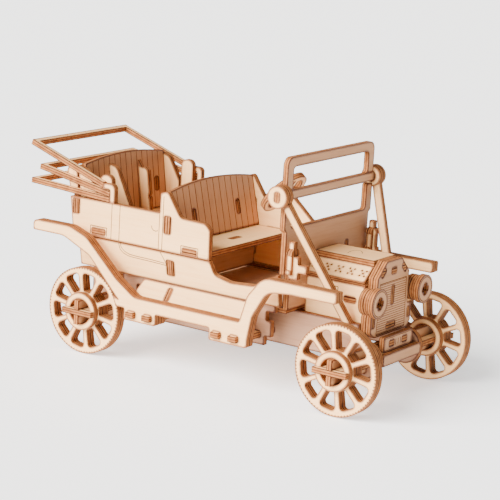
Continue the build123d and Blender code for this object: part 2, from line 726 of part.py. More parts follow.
with BuildPart() as screen:
    with BuildSketch(across(DASH_BACK)):
        add(plate(mirrored([
            (SCREEN_HALF, HINGE_Z - SCREEN_BAR / 2, 0.8),
            (SCREEN_HALF, SCREEN_TOP, 4.5),
        ])))
        with Locations((0, HINGE_Z)):
            Rectangle(2 * CAP_OUTER, HINGE_TAB)
        add(plate(mirrored([
            (SCREEN_HALF - SCREEN_POST, HINGE_Z + SCREEN_BAR / 2, 2.0),
            (SCREEN_HALF - SCREEN_POST, SCREEN_TOP - SCREEN_BAR, 2.0),
        ])), mode=Mode.SUBTRACT)
        with Locations((0, HINGE_Z - HINGE_TAB / 2), (0, HINGE_Z + HINGE_TAB / 2)):
            Rectangle(2 * SCREEN_HALF - 1.6, HINGE_TAB - SCREEN_BAR, mode=Mode.SUBTRACT)
    extrude(amount=PLY)
save(screen, "windscreen_frame")

with BuildPart() as caps:
    for _, side in SIDES:
        with BuildSketch(along(side * CAP_INNER)):
            with Locations((DASH_X, HINGE_Z)):
                Circle(HINGE_DISC)
                Rectangle(PLY, HINGE_TAB, mode=Mode.SUBTRACT)
        extrude(amount=outward(side, PLY))
save(caps, "hinge_caps")

head_x, head_z = STRUT_HEAD
lean_run = (STRUT_INNER + STRUT_OUTER) / 2 - (RAIL_INNER + PLY + 1.2)
lean_drop = head_z - RAIL_TOP
strut_lean = atan2(lean_run, lean_drop)
strut_length = hypot(lean_run, lean_drop)
with BuildPart() as washers:
    for _, side in SIDES:
        with BuildSketch(along(side * STRUT_INNER)):
            with Locations((DASH_X, HINGE_Z)):
                Circle(HINGE_DISC)
                Circle(TAB_CORNER + RUN, mode=Mode.SUBTRACT)
        extrude(amount=outward(side, PLY))
save(washers, "hinge_washers")

for side_name, side in SIDES:
    strut_plane = Plane(
        origin=(MID_X, side * (STRUT_INNER + STRUT_OUTER) / 2, head_z),
        x_dir=(1, 0, 0),
        z_dir=(0, -cos(strut_lean), side * sin(strut_lean)),
    )
    run = STRUT_FOOT - head_x
    slant = atan2(run, strut_length)
    wide = STRUT_WIDTH / 2 / cos(slant)
    with BuildPart() as strut:
        with BuildSketch(strut_plane):
            add(plate([
                (head_x - wide, 2.0, 0),
                (STRUT_FOOT - wide, -strut_length - 2.0, 0),
                (STRUT_FOOT + wide, -strut_length - 2.0, 0),
                (head_x + wide, 2.0, 0),
            ]))
        extrude(amount=PLY / 2, both=True)
        box_between((0, -CAP_OUTER, 0), (RADIATOR_FACE, CAP_OUTER, RAIL_TOP), Mode.SUBTRACT)
        with BuildSketch(along(-CAP_OUTER)):
            with Locations((DASH_X, HINGE_Z)):
                Circle(HINGE_DISC)
        extrude(amount=-2 * CAP_OUTER, mode=Mode.SUBTRACT)
    save(strut, f"windscreen_strut_{side_name}")

# ---------------------------------------------------------------- steering
steer_tip = radians(STEER_ANGLE)
steer_dir = Vector(cos(steer_tip), 0, -sin(steer_tip))
steer_up = Vector(sin(steer_tip), 0, cos(steer_tip))
steer_centre = Vector(MID_X + STEER_X, STEER_Y, STEER_Z)
steer_face = Plane(origin=steer_centre, x_dir=(0, 1, 0), z_dir=-steer_dir)
with BuildPart() as steering_wheel:
    with BuildSketch(steer_face):
        Circle(STEER_RADIUS)
        Circle(STEER_RADIUS - STEER_RIM, mode=Mode.SUBTRACT)
        Rectangle(2 * STEER_RADIUS - STEER_RIM, PLY)
        Rectangle(PLY, 2 * STEER_RADIUS - STEER_RIM)
        Circle(STEER_HUB)
        Circle(STEER_PEG + RUN, mode=Mode.SUBTRACT)
    extrude(amount=PLY)
save(steering_wheel, "steering_wheel")

with BuildPart() as column:
    with BuildSketch(along(STEER_Y + PLY / 2)):
        head = Vector(STEER_X, STEER_Z) + Vector(steer_dir.X, steer_dir.Z) * AIR
        lift = Vector(steer_up.X, steer_up.Z) * (COLUMN_WIDTH / 2)
        fall = steer_dir.Z / steer_dir.X
        upper_end = head + lift
        lower_end = head - lift
        add(plate([
            (lower_end.X, lower_end.Y, 0),
            (DASH_BACK, lower_end.Y + fall * (DASH_BACK - lower_end.X), 0),
            (DASH_BACK, upper_end.Y + fall * (DASH_BACK - upper_end.X), 0),
            (upper_end.X, upper_end.Y, 0),
        ]))
    extrude(amount=PLY)
    with BuildSketch(Plane(origin=steer_centre + steer_dir * 2, x_dir=(0, 1, 0), z_dir=-steer_dir)):
        Circle(STEER_PEG)
    extrude(amount=PLY + 2 + AIR)
save(column, "steering_column")

# ---------------------------------------------------------------- hood and radiator
with BuildPart() as hood_top:
    low = (DASH_FRONT, -HOOD_HALF_TOP, HOOD_TOP - PLY)
    box_between(low, (HOOD_FRONT, HOOD_HALF_TOP, HOOD_TOP))
save(hood_top, "hood_top")

eave = HOOD_SIDE + HOOD_EAVE
eave_z = HOOD_SIDE_TOP + EAVE_RISE
bevel_lean = degrees(atan2(eave - HOOD_HALF_TOP, HOOD_TOP - PLY - eave_z))
bevel_height = hypot(eave - HOOD_HALF_TOP, HOOD_TOP - PLY - eave_z)
HOOD_LENGTH = HOOD_FRONT - DASH_FRONT
with BuildPart() as slopes:
    for _, side in SIDES:
        with BuildSketch(leaning_side(side, eave, eave_z, bevel_lean)):
            with Locations(((DASH_FRONT + HOOD_FRONT) / 2, bevel_height / 2)):
                Rectangle(HOOD_LENGTH, bevel_height)
            for group in range(VENT_GROUPS):
                x = DASH_FRONT + HOOD_LENGTH * (group + 0.5) / VENT_GROUPS
                for across_x, up in ((0, 0), (-1.4, 1.7), (1.4, 1.7), (-1.4, -1.7), (1.4, -1.7)):
                    with Locations((x + across_x, bevel_height / 2 + up)):
                        Circle(VENT_RADIUS, mode=Mode.SUBTRACT)
        extrude(amount=-outward(side, PLY))
save(slopes, "hood_slopes")

for side_name, side in SIDES:
    with BuildPart() as hood_side:
        low_y = min(side * HOOD_SIDE, side * (HOOD_SIDE - PLY))
        box_between((DASH_FRONT, low_y, RADIATOR_BOTTOM), (HOOD_FRONT, low_y + PLY, HOOD_SIDE_TOP))
        slot_x, slot_z, slot_length = HOOD_SLOT
        low = (slot_x - slot_length / 2, low_y, slot_z - SLOT_SHORT / 2)
        high = (slot_x + slot_length / 2, low_y + PLY, slot_z + SLOT_SHORT / 2)
        box_between(low, high, Mode.SUBTRACT)
    save(hood_side, f"hood_side_{side_name}")

RADIATOR = mirrored([
    (RADIATOR_HALF, RADIATOR_BOTTOM, 1.0),
    (RADIATOR_LOBE, RADIATOR_BOTTOM + 3.0, 2.5),
    (RADIATOR_LOBE, LAMP_Z - LAMP_BODY_RADIUS - FIT, 3.0),
    (RADIATOR_HALF, LAMP_Z - LAMP_BODY_RADIUS - FIT, 0),
    (RADIATOR_HALF, RADIATOR_TOP - SHOULDER_DROP, 1.5),
    (SHOULDER_HALF, RADIATOR_TOP, 1.5),
])
for name, x in (("core", RADIATOR_FACE - 2 * PLY), ("front", RADIATOR_FACE - PLY)):
    with BuildPart() as radiator:
        with BuildSketch(across(x)):
            add(plate(RADIATOR))
            with Locations((0, RADIATOR_TOP - 5.6)):
                Rectangle(5.0, PLY + 2 * FIT, mode=Mode.SUBTRACT)
            if name == "front":
                with Locations((0, GRILLE_SLOT[0])):
                    Rectangle(SLOT_SHORT, GRILLE_SLOT[1], mode=Mode.SUBTRACT)
                with Locations((0, LOWER_SLOT[0])):
                    Rectangle(LOWER_SLOT[1], SLOT_SHORT, mode=Mode.SUBTRACT)
                for _, side in SIDES:
                    with Locations((side * LOBE_SLOT[0], LOBE_SLOT[1])):
                        Rectangle(SLOT_SHORT, SLOT_LONG, mode=Mode.SUBTRACT)
                    with Locations((side * SHOULDER_SLOT[0], SHOULDER_SLOT[1])):
                        Rectangle(SLOT_LONG, SLOT_SHORT, rotation=-side * SHOULDER_ANGLE, mode=Mode.SUBTRACT)
        extrude(amount=PLY)
    save(radiator, f"radiator_{name}")

for side_name, side in SIDES:
    with BuildPart() as lamp:
        with BuildSketch(across(RADIATOR_FACE - PLY + AIR)):
            with Locations((side * LAMP_Y, LAMP_Z)):
                Circle(LAMP_BODY_RADIUS)
        extrude(amount=2 * PLY)
        with BuildSketch(across(RADIATOR_FACE + PLY + AIR)):
            with Locations((side * LAMP_Y, LAMP_Z)):
                Circle(LAMP_RADIUS)
                Rectangle(PLY, 6.4, mode=Mode.SUBTRACT)
                Rectangle(6.4, PLY, mode=Mode.SUBTRACT)
        extrude(amount=PLY)
    save(lamp, f"headlamp_{side_name}")

LANTERN_OUTLINE = mirrored([
    (1.5, LANTERN_BOTTOM, 0),
    (1.5, LANTERN_BOTTOM + 2.4, 0),
    (LANTERN_HALF, LANTERN_BOTTOM + 2.4, 0.4),
    (LANTERN_HALF, LANTERN_BOTTOM + 5.0, 0.4),
    (LANTERN_HALF - 1.0, LANTERN_BOTTOM + 5.0, 0),
    (LANTERN_HALF - 1.0, LANTERN_BOTTOM + 12.2, 0),
    (LANTERN_HALF, LANTERN_BOTTOM + 12.2, 0.4),
    (LANTERN_HALF - 0.6, LANTERN_BOTTOM + 14.4, 0.4),
    (1.6, LANTERN_BOTTOM + 15.8, 0),
    (1.6, LANTERN_BOTTOM + LANTERN_HEIGHT, 0.6),
])
CROSS_OUTLINE = [
    (0.6, LANTERN_BOTTOM, 0.4),
    (4.4, LANTERN_BOTTOM, 0.4),
    (4.4, LANTERN_BOTTOM + 3.8, 0),
    (9.6, LANTERN_BOTTOM + 3.8, 0.4),
    (9.6, LANTERN_BOTTOM + 8.0, 0.4),
    (4.4, LANTERN_BOTTOM + 8.0, 0),
    (4.4, LANTERN_BOTTOM + 12.0, 0.4),
    (0.6, LANTERN_BOTTOM + 12.0, 0.4),
]
with BuildPart() as lanterns:
    centre_x = DASH_FRONT + LANTERN_HALF
    for _, side in SIDES:
        with BuildSketch(across(centre_x - PLY / 2)):
            add(plate([(side * LANTERN_Y + y, z, radius) for y, z, radius in LANTERN_OUTLINE]))
        extrude(amount=PLY)
        with BuildSketch(along(side * LANTERN_Y + PLY / 2)):
            outline = CROSS_OUTLINE if side < 0 else LANTERN_OUTLINE
            add(plate([(centre_x + x, z, radius) for x, z, radius in outline]))
        extrude(amount=PLY)
save(lanterns, "dash_lanterns")
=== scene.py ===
"""Plywood model car: finishes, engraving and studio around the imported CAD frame.

The car faces +X, its left is +Y and up is +Z. Blender works in metres. Places on the car are
written in millimetres: forward from mid wheelbase, left from the middle, and up from the ground.
"""

import math

import bpy
from mathutils import Matrix, Vector


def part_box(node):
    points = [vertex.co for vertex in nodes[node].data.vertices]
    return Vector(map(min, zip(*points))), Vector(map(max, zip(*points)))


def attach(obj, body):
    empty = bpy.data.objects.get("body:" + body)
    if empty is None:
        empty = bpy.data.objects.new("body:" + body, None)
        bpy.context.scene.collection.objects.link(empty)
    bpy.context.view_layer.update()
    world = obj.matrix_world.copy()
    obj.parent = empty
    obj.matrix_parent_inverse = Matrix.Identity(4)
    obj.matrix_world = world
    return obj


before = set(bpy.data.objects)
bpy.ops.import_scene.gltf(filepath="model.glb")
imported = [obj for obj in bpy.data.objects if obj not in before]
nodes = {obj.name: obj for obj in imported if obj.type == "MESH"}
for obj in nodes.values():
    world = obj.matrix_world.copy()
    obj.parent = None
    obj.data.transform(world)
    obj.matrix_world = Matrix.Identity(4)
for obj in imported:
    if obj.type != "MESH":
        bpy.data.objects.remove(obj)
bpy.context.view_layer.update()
MM = 0.001
PLY = 3.0                   # thickness of every board
X, Y, Z = Vector((1, 0, 0)), Vector((0, 1, 0)), Vector((0, 0, 1))
SIDES = (("right", -1), ("left", 1))

rear_low, rear_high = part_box("wheel_rear_right")
front_low, front_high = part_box("wheel_front_right")
MID_X = (rear_low.x + rear_high.x + front_low.x + front_high.x) / 4


def at(x, y, z):
    """A place in metres from millimetres: ahead of mid wheelbase, left, and up."""
    return Vector((MID_X + x * MM, y * MM, z * MM))


def corners(name):
    """Low and high corner of a CAD piece's box, in millimetres from mid wheelbase."""
    low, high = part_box(name)
    return (low - at(0, 0, 0)) / MM, (high - at(0, 0, 0)) / MM


# ------------------------------------------------------------------ camera and studio
CAMERA_EYE = at(555.7, -844.2, 291.4)
CAMERA_AIM = at(-7.2, 0.0, 63.1)
CAMERA_ROLL = math.radians(3.29)
CAMERA_LENS = 138.06
CAMERA_SENSOR = 36.0
CAMERA_REACH = 10.0         # metres


def set_camera():
    """Long lens from the front right, tilted a little to one side."""
    forward = (CAMERA_AIM - CAMERA_EYE).normalized()
    right = forward.cross(Z).normalized()
    up = right.cross(forward)
    camera_right = right * math.cos(CAMERA_ROLL) + up * math.sin(CAMERA_ROLL)
    camera_up = up * math.cos(CAMERA_ROLL) - right * math.sin(CAMERA_ROLL)
    data = bpy.data.cameras.new("view")
    data.lens = CAMERA_LENS
    data.sensor_width = CAMERA_SENSOR
    data.clip_end = CAMERA_REACH
    camera = bpy.data.objects.new("view", data)
    bpy.context.scene.collection.objects.link(camera)
    turn = Matrix((camera_right, camera_up, -forward)).transposed().to_4x4()
    turn.translation = CAMERA_EYE
    camera.matrix_world = turn
    bpy.context.scene.camera = camera


FLOOR_SIZE = 8.0            # metres
FLOOR_DROP = 0.0002         # metres below the wheels
FLOOR_PAPER = (0.97, 0.97, 0.97, 1)
FLOOR_GLOW = 0.9            # keeps the paper white beside the car
WHITE = (1.0, 1.0, 1.0, 1)
ROOM_LIGHT = 0.35
KEY_POWER = 14.0
KEY_SPREAD = math.radians(50)   # a broad soft source
KEY_COLOUR = (1.0, 0.985, 0.96)
KEY_DIRECTION = Vector((0.30, 0.86, -0.52))


def set_studio():
    """White paper under the car, even room light and one broad key light."""
    fresh()
    bpy.ops.mesh.primitive_plane_add(size=FLOOR_SIZE, location=(0, 0, -FLOOR_DROP))
    floor = bpy.context.active_object
    floor.name = "floor"
    paper = bpy.data.materials.new("floor_paper")
    paper.use_nodes = True
    shader = paper.node_tree.nodes["Principled BSDF"]
    shader.inputs["Base Color"].default_value = FLOOR_PAPER
    shader.inputs["Roughness"].default_value = 0.75
    shader.inputs["Specular IOR Level"].default_value = 0.2
    shader.inputs["Emission Color"].default_value = WHITE
    shader.inputs["Emission Strength"].default_value = FLOOR_GLOW
    floor.data.materials.append(paper)
    world = bpy.data.worlds.new("studio")
    bpy.context.scene.world = world
    world.use_nodes = True
    back = world.node_tree.nodes["Background"]
    back.inputs["Color"].default_value = WHITE
    back.inputs["Strength"].default_value = ROOM_LIGHT
    data = bpy.data.lights.new("key", "SUN")
    data.energy = KEY_POWER
    data.angle = KEY_SPREAD
    data.color = KEY_COLOUR
    key = bpy.data.objects.new("key", data)
    bpy.context.scene.collection.objects.link(key)
    key.rotation_euler = KEY_DIRECTION.to_track_quat("-Z", "Y").to_euler()


# ------------------------------------------------------------------ finishes
class Graph:
    """Small helper that adds and links shader nodes."""

    def __init__(self, name):
        self.material = bpy.data.materials.new(name)
        self.material.use_nodes = True
        self.tree = self.material.node_tree
        self.shader = self.tree.nodes["Principled BSDF"]

    def node(self, kind, links=(), **values):
        made = self.tree.nodes.new(kind)
        for key, value in values.items():
            setattr(made, key, value)
        for slot, source in links:
            if hasattr(source, "links"):
                self.tree.links.new(source, made.inputs[slot])
            else:
                made.inputs[slot].default_value = source
        return made

    def ramp(self, source, stops):
        made = self.node("ShaderNodeValToRGB", ((0, source),))
        while len(made.color_ramp.elements) < len(stops):
            made.color_ramp.elements.new(0.5)
        for element, (place, colour) in zip(made.color_ramp.elements, stops):
            element.position = place
            element.color = (*colour, 1)
        return made.outputs["Color"]

    def place(self):
        return self.node("ShaderNodeTexCoord").outputs["Object"]

    def stretched(self, scale):
        mapping = self.node("ShaderNodeMapping", (("Vector", self.place()),))
        mapping.inputs["Scale"].default_value = scale
        return mapping.outputs["Vector"]

    def noise(self, vector, scale, detail=4.0, rough=0.55):
        links = (("Vector", vector), ("Scale", scale), ("Detail", detail))
        made = self.node("ShaderNodeTexNoise", links)
        made.inputs["Roughness"].default_value = rough
        return made.outputs["Fac"]

    def blend(self, amount, low, high, mode="MIX"):
        made = self.node("ShaderNodeMix", data_type="RGBA", blend_type=mode)
        for slot, value in ((0, amount), (6, low), (7, high)):
            socket = made.inputs[slot]
            if hasattr(value, "links"):
                self.tree.links.new(value, socket)
            elif isinstance(value, tuple):
                socket.default_value = (*value, 1)
            else:
                socket.default_value = value
        return made.outputs[2]

    def math(self, operation, first, second=0.0):
        links = ((0, first), (1, second))
        return self.node("ShaderNodeMath", links, operation=operation).outputs[0]

    def skin(self, colour, roughness, gloss):
        """Gives the shader its colour, roughness and share of gloss."""
        self.tree.links.new(colour, self.shader.inputs["Base Color"])
        self.shader.inputs["Roughness"].default_value = roughness
        self.shader.inputs["Specular IOR Level"].default_value = gloss

    def relief(self, height, strength, depth):
        """Gives the shader a fine relief, its depth in metres."""
        links = (("Height", height), ("Strength", strength), ("Distance", depth))
        bump = self.node("ShaderNodeBump", links)
        self.tree.links.new(bump.outputs["Normal"], self.shader.inputs["Normal"])


EVEN = (1.0, 1.0, 1.0)
ALONG, ACROSS = 26.0, 420.0     # repeats per metre of the grain, along it and across it
GRAIN_AXIS = {
    "x": (ALONG, ACROSS, ACROSS),
    "y": (ACROSS, ALONG, ACROSS),
    "z": (ACROSS, ACROSS, ALONG),
}
RIM_WIDTH = 1.7 * MM            # reach of the laser's scorch in from a board's edge
RIM_CHAR = (0.17, 0.055, 0.015)


def birch_face(name, grain, pale, warm):
    """Sanded birch face: streaks along the grain, soft figure, tiny pores and a scorched rim."""
    finish = Graph(name)
    stretch = Vector(GRAIN_AXIS[grain])
    streaks = finish.noise(finish.stretched(stretch), 1.6, 6.0, 0.62)
    colour = finish.ramp(streaks, ((0.28, warm), (0.56, pale)))
    broad = finish.noise(finish.stretched(stretch * 0.16), 1.0, 3.0)
    figure = finish.ramp(broad, ((0.30, (0.90, 0.86, 0.80)), (0.65, EVEN)))
    colour = finish.blend(0.75, colour, figure, "MULTIPLY")
    pores = finish.noise(finish.stretched(stretch * 3.2), 1.4, 2.0)
    flecks = finish.ramp(pores, ((0.28, (0.78, 0.68, 0.55)), (0.36, EVEN)))
    colour = finish.blend(0.35, colour, flecks, "MULTIPLY")
    rim = finish.node("ShaderNodeAmbientOcclusion", (("Distance", RIM_WIDTH),),
                      samples=8, inside=True, only_local=True)
    char = finish.ramp(rim.outputs["AO"], ((0.66, RIM_CHAR), (0.86, EVEN)))
    colour = finish.blend(0.9, colour, char, "MULTIPLY")
    finish.skin(colour, 0.62, 0.3)
    finish.relief(streaks, 0.12, 0.0002)
    return finish.material


DARK_LAYER = (0.045, 0.011, 0.003)
MIDDLE_LAYER = (0.20, 0.062, 0.016)
LIGHT_LAYER = (0.40, 0.155, 0.048)
LAYERS = (
    # share of the board's thickness, colour there
    (0.0, DARK_LAYER), (0.08, DARK_LAYER), (0.15, LIGHT_LAYER), (0.36, LIGHT_LAYER),
    (0.42, MIDDLE_LAYER), (0.58, MIDDLE_LAYER), (0.64, LIGHT_LAYER), (0.85, LIGHT_LAYER),
    (0.92, DARK_LAYER), (1.0, DARK_LAYER),
)


def scorched_edge(name, normal, start):
    """Laser-cut plywood edge: scorched brown, with the sheet's layers as fine lines.

    The layers are counted from a start in metres, along the board's normal.
    """
    finish = Graph(name)
    dot = finish.node("ShaderNodeVectorMath", operation="DOT_PRODUCT")
    finish.tree.links.new(finish.place(), dot.inputs[0])
    dot.inputs[1].default_value = normal
    depth = finish.math("SUBTRACT", dot.outputs["Value"], start)
    layer = finish.math("FRACT", finish.math("DIVIDE", depth, PLY * MM))
    colour = finish.ramp(layer, LAYERS)
    blotch = finish.noise(finish.stretched(EVEN), 210.0, 5.0, 0.6)
    stain = finish.ramp(blotch, ((0.32, (0.52, 0.44, 0.38)), (0.60, EVEN)))
    colour = finish.blend(0.8, colour, stain, "MULTIPLY")
    fine = finish.noise(finish.stretched(EVEN), 1500.0, 3.0)
    speck = finish.ramp(fine, ((0.35, (0.70, 0.62, 0.55)), (0.55, EVEN)))
    colour = finish.blend(0.5, colour, speck, "MULTIPLY")
    finish.skin(colour, 0.8, 0.15)
    finish.relief(layer, 0.1, 0.0001)
    return finish.material


def char_finish():
    """Charred engraving: dark brown and a little uneven."""
    finish = Graph("burnt_line")
    blotch = finish.noise(finish.stretched(EVEN), 900.0, 3.0)
    colour = finish.ramp(blotch, ((0.35, (0.05, 0.012, 0.003)), (0.65, (0.13, 0.038, 0.010))))
    finish.skin(colour, 0.85, 0.1)
    return finish.material


def birch_faces(name, pale, warm):
    """One face finish for each way that the grain can run."""
    return {axis: birch_face(f"{name}_{axis}", axis, pale, warm) for axis in "xyz"}


PALE_BIRCH = birch_faces("birch_pale", (0.95, 0.56, 0.245), (0.90, 0.48, 0.19))
# Darker birch for broad faces that look forward: painted shade where the side key light does not
# reach them.
FORWARD_SHADE_BIRCH = birch_faces("birch_forward_shade", (0.52, 0.26, 0.12), (0.46, 0.215, 0.09))
# Darker, less warm birch for the boards inside the body: painted shade of the recesses between the
# walls.
INNER_SHADE_BIRCH = birch_faces("birch_inner_shade", (0.40, 0.215, 0.125), (0.35, 0.175, 0.095))
CHAR = char_finish()


def board_normal(mesh):
    """Normal of a board's broad faces: the direction that holds most of its area."""
    totals = {}
    for face in mesh.polygons:
        normal = face.normal
        if max(normal, key=abs) < 0:
            normal = -normal
        key = tuple(round(share, 1) for share in normal)
        area, total = totals.get(key, (0.0, Vector((0, 0, 0))))
        totals[key] = (area + face.area, total + normal * face.area)
    area, total = max(totals.values(), key=lambda item: item[0])
    return total.normalized()


BROAD = 0.985       # a face this nearly square to a board's normal is a broad face, not an edge
FORWARD_SHADE_LIMIT = 0.9       # a broad face that looks this nearly forward takes the darker forward finish, which is painted shade
BIRCH_SLOT, EDGE_SLOT, PAINTED_SHADE_SLOT = 0, 1, 2


def finish_board(name, grain, faces, front, normals):
    """Birch on a board's broad faces and scorched plies on its edges.

    Faces that look forward are painted darker, as painted shade where the side key light does not
    reach: with the darker front birch on a plain board, and with the second normal's scorched-edge
    finish where boards cross.
    """
    mesh = nodes[name].data
    broad = normals or [board_normal(mesh)]
    edges = []
    for i, normal in enumerate(broad):
        start = min(vertex.co.dot(normal) for vertex in mesh.vertices)
        edges.append(scorched_edge(f"scorched_{name}_{i}", normal, start))
    # Forward faces take painted shade: the second normal's scorch on crossed boards, otherwise the
    # darker front birch.
    forward = edges[1] if len(edges) > 1 else front[grain]
    mesh.materials.clear()
    for finish in (faces[grain], edges[0], forward):
        mesh.materials.append(finish)
    for face in mesh.polygons:
        if max(abs(face.normal.dot(normal)) for normal in broad) <= BROAD:
            face.material_index = EDGE_SLOT
        elif face.normal.x > FORWARD_SHADE_LIMIT:
            face.material_index = PAINTED_SHADE_SLOT
        else:
            face.material_index = BIRCH_SLOT


# Boards inside the body, which take the darker birch as painted shade.
INNER_SHADE_BOARDS = ("chassis_floor", "front_seat_riser", "rear_seat_riser", "chassis_rail_left",
                "chassis_rail_right", "body_sills")
GRAIN_ACROSS = ("radiator_front", "windscreen_board", "windscreen_frame", "rear_panel",
                "front_seat_riser", "rear_seat_riser", "step_beams", "front_beam",
                "number_plate", "front_seat_board", "rear_seat_board", "axle_upright_front",
                "axle_upright_rear", "axle_flat_front", "axle_flat_rear", "steering_wheel")
GRAIN_UP = ("front_seat_back", "rear_seat_back", "radiator_core", "rear_fins", "rear_wings",
            "rear_posts", "bow_hooks", "bow_brackets", "dash_lanterns",
            "windscreen_strut_right", "windscreen_strut_left", "headlamp_left",
            "headlamp_right")
slope = board_normal(nodes["hood_slopes"].data)
CROSSED_BOARDS = {
    # pieces whose boards stand in two directions, and the normals of both
    "hood_slopes": [slope, Vector((slope.x, -slope.y, slope.z))],
    "dash_lanterns": [X, Y],
}
for name in sorted(nodes):
    grain = "y" if name in GRAIN_ACROSS else "z" if name in GRAIN_UP else "x"
    # Inner boards and faces that look forward take darker birch: painted shade.
    inner = name in INNER_SHADE_BOARDS
    faces = INNER_SHADE_BIRCH if inner else PALE_BIRCH
    front = INNER_SHADE_BIRCH if inner else FORWARD_SHADE_BIRCH
    finish_board(name, grain, faces, front, CROSSED_BOARDS.get(name))

# ------------------------------------------------------------------ patterns
UPWARD = 0.9        # a pattern's face that looks this nearly up is its top


def fresh():
    """Leaves nothing selected, so that the next operator acts on its own piece only."""
    bpy.ops.object.select_all(action="DESELECT")


def take_top(piece):
    """Selects a piece's top face, in edit mode."""
    bpy.ops.mesh.select_mode(type="FACE")
    bpy.ops.mesh.select_all(action="DESELECT")
    bpy.ops.object.mode_set(mode="OBJECT")
    for face in piece.data.polygons:
        face.select = face.normal.z > UPWARD
    bpy.ops.object.mode_set(mode="EDIT")


# Shares of a pattern's own unit size.
RIDGE_CREST = 0.55
RIDGE_EASE, RIDGE_RISE = 0.08, 0.06
TAB_EASE, TAB_RISE = 0.06, 0.04
RING_BORE, RING_CREST = 0.95, 0.99
RING_SIDES = 48


def model_burnt_line():
    """Pattern of an engraved line, one unit long: a low ridge of char with sloped sides."""
    fresh()
    bpy.ops.mesh.primitive_cube_add(size=1.0, location=(0.5, 0, 0))
    piece = bpy.context.active_object
    bpy.ops.object.transform_apply(location=True, rotation=False, scale=False)
    bpy.ops.object.mode_set(mode="EDIT")
    take_top(piece)
    bpy.ops.transform.resize(value=(1.0, RIDGE_CREST, 1.0))
    bpy.ops.mesh.inset(thickness=RIDGE_EASE, depth=RIDGE_RISE)
    bpy.ops.object.mode_set(mode="OBJECT")
    return piece


def model_tab():
    """Pattern of a tab's sawn end, one unit in size: a block with its front corners eased."""
    fresh()
    bpy.ops.mesh.primitive_cube_add(size=1.0)
    piece = bpy.context.active_object
    bpy.ops.object.mode_set(mode="EDIT")
    take_top(piece)
    bpy.ops.mesh.inset(thickness=TAB_EASE, depth=TAB_RISE)
    bpy.ops.object.mode_set(mode="OBJECT")
    return piece


def model_ring():
    """Pattern of an engraved circle, radius one: a thin band of char with sloped sides."""
    fresh()
    bpy.ops.mesh.primitive_circle_add(vertices=RING_SIDES, radius=1.0, fill_type="NOTHING")
    piece = bpy.context.active_object
    bpy.ops.object.mode_set(mode="EDIT")
    bpy.ops.mesh.select_all(action="SELECT")
    bpy.ops.mesh.extrude_edges_move(TRANSFORM_OT_translate={"value": (0, 0, 0)})
    bpy.ops.transform.resize(value=(RING_BORE, RING_BORE, 1.0))
    bpy.ops.mesh.select_all(action="SELECT")
    bpy.ops.mesh.normals_make_consistent(inside=False)
    bpy.ops.mesh.extrude_region_move(TRANSFORM_OT_translate={"value": (0, 0, 1)})
    bpy.ops.transform.resize(value=(RING_CREST, RING_CREST, 1.0))
    bpy.ops.mesh.select_all(action="SELECT")
    bpy.ops.mesh.normals_make_consistent(inside=False)
    bpy.ops.object.mode_set(mode="OBJECT")
    return piece


BURNT_LINE = model_burnt_line()
TAB_END = model_tab()
BURNT_RING = model_ring()

# Tab ends show the layers of their own board, so they go by how that board stands.
END_ACROSS_CAR = scorched_edge("tab_end_across_car", X, 0.0)
END_LEVEL = scorched_edge("tab_end_level", Z, 0.0)
END_ALONG_CAR = scorched_edge("tab_end_along_car", Y, 0.0)


def lay_copies(name, body, pattern, frames, finish):
    """Copies a pattern into each frame, joins the copies and lets them ride on a body."""
    made = []
    for place in frames:
        piece = bpy.data.objects.new(name, pattern.data.copy())
        bpy.context.scene.collection.objects.link(piece)
        piece.data.transform(place)
        made.append(piece)
    fresh()
    for piece in made:
        piece.select_set(True)
    bpy.context.view_layer.objects.active = made[0]
    if len(made) > 1:
        bpy.ops.object.join()
    whole = bpy.context.view_layer.objects.active
    whole.name = name
    whole.data.name = name
    whole.data.materials.clear()
    whole.data.materials.append(finish)
    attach(whole, body)
    return whole


def engrave(name, lines):
    """Burns lines into the car's own boards."""
    lay_copies(name, "car", BURNT_LINE, lines, CHAR)


def fill_slots(name, ends, finish):
    """Puts tab ends into slots of the car's own boards."""
    lay_copies(name, "car", TAB_END, ends, finish)


# ------------------------------------------------------------------ places on a board's face
LINE_WIDTH = 0.55
FINE_LINE = 0.3
BOLD_LINE = 0.6
LINE_HEIGHT = 0.10      # half of it lies below the board's face
RING_HEIGHT = 0.05
TAB_DEPTH = 1.6
TAB_PROUD = 0.15        # how far a tab's end stands out of its board
TAB_SUNK = -0.1         # or lies back in its slot


def frame_of(origin, right, up, size):
    """Matrix that puts a pattern at a place in metres, with its own axes and millimetre size."""
    right = right.normalized()
    out = right.cross(up).normalized()
    up = out.cross(right)
    width, height, depth = (length * MM for length in size)
    turn = Matrix((right * width, up * height, out * depth)).transposed().to_4x4()
    turn.translation = origin
    return turn


def line_frame(start, end, normal, width):
    """Frame of one engraved line between two places in metres."""
    run = end - start
    return frame_of(start, run, normal.cross(run), (run.length / MM, width, LINE_HEIGHT))


def tipped(angle, towards):
    """Direction that starts upright and tips towards another by an angle in degrees."""
    return Z * math.cos(math.radians(angle)) + towards * math.sin(math.radians(angle))


class Face:
    """A board's face, with places on it given across and up from its foot."""

    def __init__(self, foot, across, up):
        self.foot = foot
        self.across = across.normalized()
        self.up = up.normalized()
        self.normal = self.across.cross(self.up).normalized()

    def spot(self, across, up):
        return self.foot + (self.across * across + self.up * up) * MM

    def line(self, points, width=LINE_WIDTH):
        """Frames of a line that turns at each point."""
        places = [self.spot(*point) for point in points]
        return [line_frame(a, b, self.normal, width) for a, b in zip(places, places[1:])]

    def tab(self, across, up, width, height, proud=TAB_PROUD):
        """Frame of a tab's end."""
        middle = self.spot(across, up) + self.normal * (proud - TAB_DEPTH / 2) * MM
        return frame_of(middle, self.across, self.up, (width, height, TAB_DEPTH))

    def ring(self, across, up, radius):
        """Frame of an engraved circle."""
        return frame_of(self.spot(across, up), self.across, self.up, (radius, radius, RING_HEIGHT))


